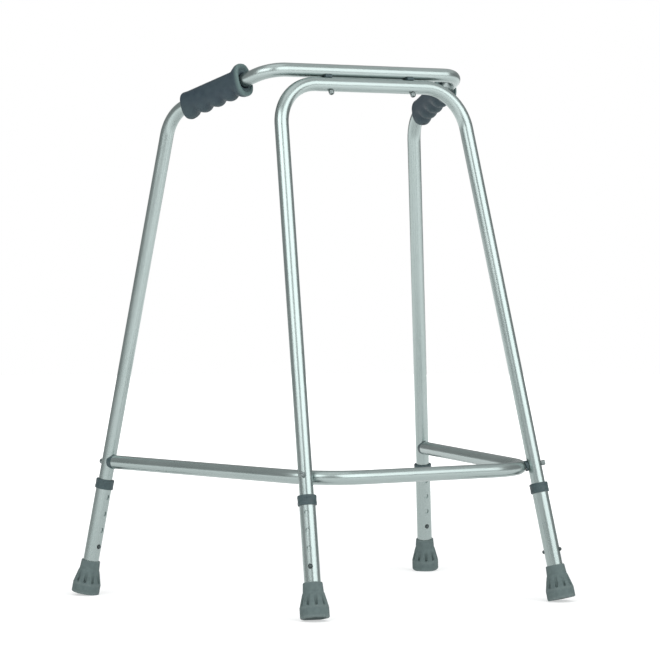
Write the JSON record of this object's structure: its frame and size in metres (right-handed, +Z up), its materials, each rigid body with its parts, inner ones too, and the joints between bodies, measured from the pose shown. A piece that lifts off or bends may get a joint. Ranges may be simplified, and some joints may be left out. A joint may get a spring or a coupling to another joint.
{
  "type": "walking frame",
  "caption": "Rigid hospital walking frame: bent aluminium tubes, moulded hand grips, lower rail, telescopic snap-button legs and rubber ferrules.",
  "frame": {"origin": "middle of the footprint, on the floor", "axes": "+Z up; +Y points to the rear, where the user stands; left and right in the names are as seen from the front, so the left parts are on -X"},
  "size_m": [0.7158, 0.557, 0.8446],
  "materials": {
    "aluminium": "satin anodised",
    "grip_plastic": "moulded, matt blue-grey",
    "collar_plastic": "moulded, slate",
    "ferrule_rubber": "matt grey rubber",
    "zinc_steel": "zinc plated",
    "spring_steel": "spring steel",
    "dark_steel": "blackened"
  },
  "bodies": {
    "frame": {"front_frame_tube": "aluminium", "handle_frame_tube": "aluminium", "lower_rail_tube": "aluminium", "left_hand_grip": "grip_plastic", "right_hand_grip": "grip_plastic", "left_bar_bolt": "zinc_steel", "left_bar_rivet_nut": "zinc_steel", "left_bar_spacer": "collar_plastic", "front_left_rail_bolt": "zinc_steel", "front_left_rail_nut": "zinc_steel", "front_left_rail_spacer": "collar_plastic", "rear_left_rail_bolt": "zinc_steel", "rear_left_rail_plug": "collar_plastic", "rear_left_rail_saddle": "collar_plastic", "right_bar_bolt": "zinc_steel", "right_bar_rivet_nut": "zinc_steel", "right_bar_spacer": "collar_plastic", "front_right_rail_bolt": "zinc_steel", "front_right_rail_nut": "zinc_steel", "front_right_rail_spacer": "collar_plastic", "rear_right_rail_bolt": "zinc_steel", "rear_right_rail_plug": "collar_plastic", "rear_right_rail_saddle": "collar_plastic", "front_left_clip_spring": "spring_steel", "front_right_clip_spring": "spring_steel", "rear_left_clip_spring": "spring_steel", "rear_right_clip_spring": "spring_steel"},
    "front_left_leg": {"front_left_leg_tube": "aluminium", "front_left_leg_collar": "collar_plastic", "front_left_ferrule": "ferrule_rubber", "front_left_ferrule_washer": "zinc_steel"},
    "front_left_outer_snap": {"front_left_outer_button": "dark_steel"},
    "front_left_inner_snap": {"front_left_inner_button": "dark_steel"},
    "front_right_leg": {"front_right_leg_tube": "aluminium", "front_right_leg_collar": "collar_plastic", "front_right_ferrule": "ferrule_rubber", "front_right_ferrule_washer": "zinc_steel"},
    "front_right_outer_snap": {"front_right_outer_button": "dark_steel"},
    "front_right_inner_snap": {"front_right_inner_button": "dark_steel"},
    "rear_left_leg": {"rear_left_leg_tube": "aluminium", "rear_left_leg_collar": "collar_plastic", "rear_left_ferrule": "ferrule_rubber", "rear_left_ferrule_washer": "zinc_steel"},
    "rear_left_front_snap": {"rear_left_front_button": "dark_steel"},
    "rear_left_back_snap": {"rear_left_back_button": "dark_steel"},
    "rear_right_leg": {"rear_right_leg_tube": "aluminium", "rear_right_leg_collar": "collar_plastic", "rear_right_ferrule": "ferrule_rubber", "rear_right_ferrule_washer": "zinc_steel"},
    "rear_right_front_snap": {"rear_right_front_button": "dark_steel"},
    "rear_right_back_snap": {"rear_right_back_button": "dark_steel"}
  },
  "joints": [
    {"name": "front_left_leg_slide", "type": "slide", "parent": "frame", "child": "front_left_leg", "axis": [-0.0735, -0.2295, -0.9705], "range_m": [0, 0.081], "deforming": ["front_left_outer_button", "front_left_inner_button"]},
    {"name": "front_left_outer_button_press", "type": "slide", "parent": "frame", "child": "front_left_outer_snap", "axis": [0.6561, 0.7218, -0.2204], "range_m": [0, 0.0045], "stiffness_N_per_m": 900, "springref_m": -0.002, "deforming": ["front_left_clip_spring"]},
    {"name": "front_left_inner_button_press", "type": "slide", "parent": "frame", "child": "front_left_inner_snap", "axis": [-0.6561, -0.7218, 0.2204], "range_m": [0, 0.0045], "stiffness_N_per_m": 900, "springref_m": -0.002, "deforming": ["front_left_clip_spring"]},
    {"name": "front_right_leg_slide", "type": "slide", "parent": "frame", "child": "front_right_leg", "axis": [0.0735, -0.2295, -0.9705], "range_m": [0, 0.081], "deforming": ["front_right_outer_button", "front_right_inner_button"]},
    {"name": "front_right_outer_button_press", "type": "slide", "parent": "frame", "child": "front_right_outer_snap", "axis": [-0.6561, 0.7218, -0.2204], "range_m": [0, 0.0045], "stiffness_N_per_m": 900, "springref_m": -0.002, "deforming": ["front_right_clip_spring"]},
    {"name": "front_right_inner_button_press", "type": "slide", "parent": "frame", "child": "front_right_inner_snap", "axis": [0.6561, -0.7218, 0.2204], "range_m": [0, 0.0045], "stiffness_N_per_m": 900, "springref_m": -0.002, "deforming": ["front_right_clip_spring"]},
    {"name": "rear_left_leg_slide", "type": "slide", "parent": "frame", "child": "rear_left_leg", "axis": [-0.1272, 0.1361, -0.9825], "range_m": [0, 0.081], "deforming": ["rear_left_front_button", "rear_left_back_button"]},
    {"name": "rear_left_front_button_press", "type": "slide", "parent": "frame", "child": "rear_left_front_snap", "axis": [-0.2072, 0.9651, 0.1605], "range_m": [0, 0.0045], "stiffness_N_per_m": 900, "springref_m": -0.002, "deforming": ["rear_left_clip_spring"]},
    {"name": "rear_left_back_button_press", "type": "slide", "parent": "frame", "child": "rear_left_back_snap", "axis": [0.2072, -0.9651, -0.1605], "range_m": [0, 0.0045], "stiffness_N_per_m": 900, "springref_m": -0.002, "deforming": ["rear_left_clip_spring"]},
    {"name": "rear_right_leg_slide", "type": "slide", "parent": "frame", "child": "rear_right_leg", "axis": [0.1272, 0.1361, -0.9825], "range_m": [0, 0.081], "deforming": ["rear_right_front_button", "rear_right_back_button"]},
    {"name": "rear_right_front_button_press", "type": "slide", "parent": "frame", "child": "rear_right_front_snap", "axis": [0.2072, 0.9651, 0.1605], "range_m": [0, 0.0045], "stiffness_N_per_m": 900, "springref_m": -0.002, "deforming": ["rear_right_clip_spring"]},
    {"name": "rear_right_back_button_press", "type": "slide", "parent": "frame", "child": "rear_right_back_snap", "axis": [-0.2072, -0.9651, -0.1605], "range_m": [0, 0.0045], "stiffness_N_per_m": 900, "springref_m": -0.002, "deforming": ["rear_right_clip_spring"]}
  ]
}
